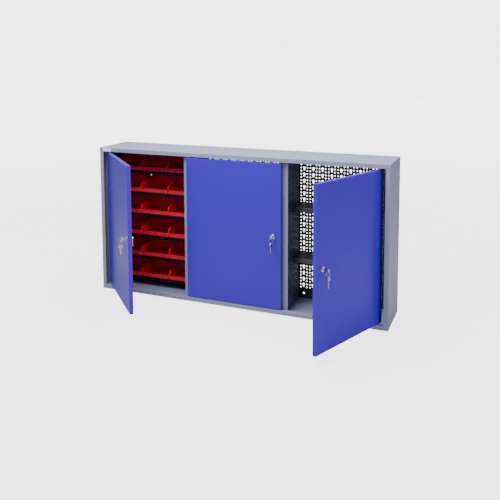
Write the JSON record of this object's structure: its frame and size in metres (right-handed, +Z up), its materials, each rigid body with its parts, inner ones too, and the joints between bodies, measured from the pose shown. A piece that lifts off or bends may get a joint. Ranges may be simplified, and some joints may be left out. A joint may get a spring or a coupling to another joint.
{
  "type": "wall tool cabinet",
  "caption": "Wide, shallow wall-hung steel cabinet with lockable inset doors, a rack of open-front bins, perforated back plates and shelves.",
  "frame": {"origin": "centre of the four wall-fixing holes, on the plane of the wall", "axes": "+X to the right seen from the front, +Y into the wall, +Z up"},
  "size_m": [1.2044, 0.5235, 0.6044],
  "materials": {
    "carcass_grey": "satin",
    "door_blue": "satin",
    "black_steel": "satin",
    "bin_red": "semi-gloss",
    "zinc": "zinc plated",
    "chrome": "polished",
    "nickel": "nickel plated"
  },
  "bodies": {
    "cabinet": {"top_panel": "carcass_grey", "bottom_panel": "carcass_grey", "left_side_panel": "carcass_grey", "right_side_panel": "carcass_grey", "left_divider": "carcass_grey", "right_divider": "carcass_grey", "left_back_plate": "black_steel", "middle_back_plate": "black_steel", "right_back_plate": "black_steel", "bin_rack_sides": "black_steel", "bin_shelves": "black_steel", "slotted_side_plates": "black_steel", "upper_shelf": "black_steel", "lower_shelf": "black_steel", "shelf_clips": "zinc", "carcass_screws": "zinc", "hinge_pins": "zinc", "hinge_washers": "zinc"},
    "left_door": {"left_door": "door_blue", "left_lock_housing": "chrome", "left_lock_nut": "zinc"},
    "left_lock": {"left_lock_plug": "chrome", "left_lock_cam": "zinc", "left_key": "nickel"},
    "left_key_ring": {"left_key_ring": "nickel"},
    "left_spare_key": {"left_spare_key": "nickel"},
    "middle_door": {"middle_door": "door_blue", "middle_lock_housing": "chrome", "middle_lock_nut": "zinc"},
    "middle_lock": {"middle_lock_plug": "chrome", "middle_lock_cam": "zinc", "middle_key": "nickel"},
    "middle_key_ring": {"middle_key_ring": "nickel"},
    "middle_spare_key": {"middle_spare_key": "nickel"},
    "right_door": {"right_door": "door_blue", "right_lock_housing": "chrome", "right_lock_nut": "zinc"},
    "right_lock": {"right_lock_plug": "chrome", "right_lock_cam": "zinc", "right_key": "nickel"},
    "right_key_ring": {"right_key_ring": "nickel"},
    "right_spare_key": {"right_spare_key": "nickel"},
    "bin_row1_col1": {"bin_row1_col1": "bin_red"},
    "bin_row1_col2": {"bin_row1_col2": "bin_red"},
    "bin_row1_col3": {"bin_row1_col3": "bin_red"},
    "bin_row2_col1": {"bin_row2_col1": "bin_red"},
    "bin_row2_col2": {"bin_row2_col2": "bin_red"},
    "bin_row2_col3": {"bin_row2_col3": "bin_red"},
    "bin_row3_col1": {"bin_row3_col1": "bin_red"},
    "bin_row3_col2": {"bin_row3_col2": "bin_red"},
    "bin_row3_col3": {"bin_row3_col3": "bin_red"},
    "bin_row4_col1": {"bin_row4_col1": "bin_red"},
    "bin_row4_col2": {"bin_row4_col2": "bin_red"},
    "bin_row4_col3": {"bin_row4_col3": "bin_red"},
    "bin_row5_col1": {"bin_row5_col1": "bin_red"},
    "bin_row5_col2": {"bin_row5_col2": "bin_red"},
    "bin_row5_col3": {"bin_row5_col3": "bin_red"},
    "bin_row6_col1": {"bin_row6_col1": "bin_red"},
    "bin_row6_col2": {"bin_row6_col2": "bin_red"},
    "bin_row6_col3": {"bin_row6_col3": "bin_red"}
  },
  "joints": [
    {"name": "left_door_hinge", "type": "hinge", "parent": "cabinet", "child": "left_door", "pos_m": [-0.556, -0.1925, 0], "axis": [0, 0, -1], "range_deg": [-45, 55]},
    {"name": "left_lock_turn", "type": "hinge", "parent": "left_door", "child": "left_lock", "pos_m": [-0.33361, -0.42549, 0], "axis": [-0.7071, -0.7071, 0], "range_deg": [0, 90]},
    {"name": "left_ring_swing", "type": "hinge", "parent": "left_lock", "child": "left_key_ring", "pos_m": [-0.34882, -0.44069, -0.0015], "axis": [-0.7071, 0.7071, 0], "range_deg": [0, 75]},
    {"name": "left_spare_slide_round_ring", "type": "hinge", "parent": "left_key_ring", "child": "left_spare_key", "pos_m": [-0.34882, -0.44069, -0.0105], "axis": [-0.7071, -0.7071, 0], "range_deg": [-90, 90]},
    {"name": "middle_door_hinge", "type": "hinge", "parent": "cabinet", "child": "middle_door", "pos_m": [-0.1895, -0.1925, 0], "axis": [0, 0, -1], "range_deg": [0, 100]},
    {"name": "middle_lock_turn", "type": "hinge", "parent": "middle_door", "child": "middle_lock", "pos_m": [0.165, -0.2, 0], "axis": [0, -1, 0], "range_deg": [0, 90]},
    {"name": "middle_ring_swing", "type": "hinge", "parent": "middle_lock", "child": "middle_key_ring", "pos_m": [0.165, -0.2215, -0.0015], "axis": [-1, 0, 0], "range_deg": [0, 75]},
    {"name": "middle_spare_slide_round_ring", "type": "hinge", "parent": "middle_key_ring", "child": "middle_spare_key", "pos_m": [0.165, -0.2215, -0.0105], "axis": [0, -1, 0], "range_deg": [-90, 90]},
    {"name": "right_door_hinge", "type": "hinge", "parent": "cabinet", "child": "right_door", "pos_m": [0.556, -0.1925, 0], "axis": [0, 0, 1], "range_deg": [-68, 32]},
    {"name": "right_lock_turn", "type": "hinge", "parent": "right_door", "child": "right_lock", "pos_m": [0.44233, -0.49386, 0], "axis": [-0.9272, 0.3746, 0], "range_deg": [0, 90]},
    {"name": "right_ring_swing", "type": "hinge", "parent": "right_lock", "child": "right_key_ring", "pos_m": [0.46226, -0.50192, -0.0015], "axis": [-0.3746, -0.9272, 0], "range_deg": [0, 75]},
    {"name": "right_spare_slide_round_ring", "type": "hinge", "parent": "right_key_ring", "child": "right_spare_key", "pos_m": [0.46226, -0.50192, -0.0105], "axis": [-0.9272, 0.3746, 0], "range_deg": [-90, 90]},
    {"name": "bin_row1_col1_pull", "type": "slide", "parent": "cabinet", "child": "bin_row1_col1", "axis": [0, -1, 0], "range_m": [0, 0.045]},
    {"name": "bin_row1_col2_pull", "type": "slide", "parent": "cabinet", "child": "bin_row1_col2", "axis": [0, -1, 0], "range_m": [0, 0.045]},
    {"name": "bin_row1_col3_pull", "type": "slide", "parent": "cabinet", "child": "bin_row1_col3", "axis": [0, -1, 0], "range_m": [0, 0.045]},
    {"name": "bin_row2_col1_pull", "type": "slide", "parent": "cabinet", "child": "bin_row2_col1", "axis": [0, -1, 0], "range_m": [0, 0.045]},
    {"name": "bin_row2_col2_pull", "type": "slide", "parent": "cabinet", "child": "bin_row2_col2", "axis": [0, -1, 0], "range_m": [0, 0.045]},
    {"name": "bin_row2_col3_pull", "type": "slide", "parent": "cabinet", "child": "bin_row2_col3", "axis": [0, -1, 0], "range_m": [0, 0.045]},
    {"name": "bin_row3_col1_pull", "type": "slide", "parent": "cabinet", "child": "bin_row3_col1", "axis": [0, -1, 0], "range_m": [0, 0.045]},
    {"name": "bin_row3_col2_pull", "type": "slide", "parent": "cabinet", "child": "bin_row3_col2", "axis": [0, -1, 0], "range_m": [0, 0.045]},
    {"name": "bin_row3_col3_pull", "type": "slide", "parent": "cabinet", "child": "bin_row3_col3", "axis": [0, -1, 0], "range_m": [0, 0.045]},
    {"name": "bin_row4_col1_pull", "type": "slide", "parent": "cabinet", "child": "bin_row4_col1", "axis": [0, -1, 0], "range_m": [0, 0.045]},
    {"name": "bin_row4_col2_pull", "type": "slide", "parent": "cabinet", "child": "bin_row4_col2", "axis": [0, -1, 0], "range_m": [0, 0.045]},
    {"name": "bin_row4_col3_pull", "type": "slide", "parent": "cabinet", "child": "bin_row4_col3", "axis": [0, -1, 0], "range_m": [0, 0.045]},
    {"name": "bin_row5_col1_pull", "type": "slide", "parent": "cabinet", "child": "bin_row5_col1", "axis": [0, -1, 0], "range_m": [0, 0.045]},
    {"name": "bin_row5_col2_pull", "type": "slide", "parent": "cabinet", "child": "bin_row5_col2", "axis": [0, -1, 0], "range_m": [0, 0.045]},
    {"name": "bin_row5_col3_pull", "type": "slide", "parent": "cabinet", "child": "bin_row5_col3", "axis": [0, -1, 0], "range_m": [0, 0.045]},
    {"name": "bin_row6_col1_pull", "type": "slide", "parent": "cabinet", "child": "bin_row6_col1", "axis": [0, -1, 0], "range_m": [0, 0.045]},
    {"name": "bin_row6_col2_pull", "type": "slide", "parent": "cabinet", "child": "bin_row6_col2", "axis": [0, -1, 0], "range_m": [0, 0.045]},
    {"name": "bin_row6_col3_pull", "type": "slide", "parent": "cabinet", "child": "bin_row6_col3", "axis": [0, -1, 0], "range_m": [0, 0.045]}
  ],
  "couplings": [
    {"joint": "left_spare_slide_round_ring", "follows": "left_lock_turn", "ratio": -1},
    {"joint": "middle_spare_slide_round_ring", "follows": "middle_lock_turn", "ratio": -1},
    {"joint": "right_spare_slide_round_ring", "follows": "right_lock_turn", "ratio": -1}
  ]
}
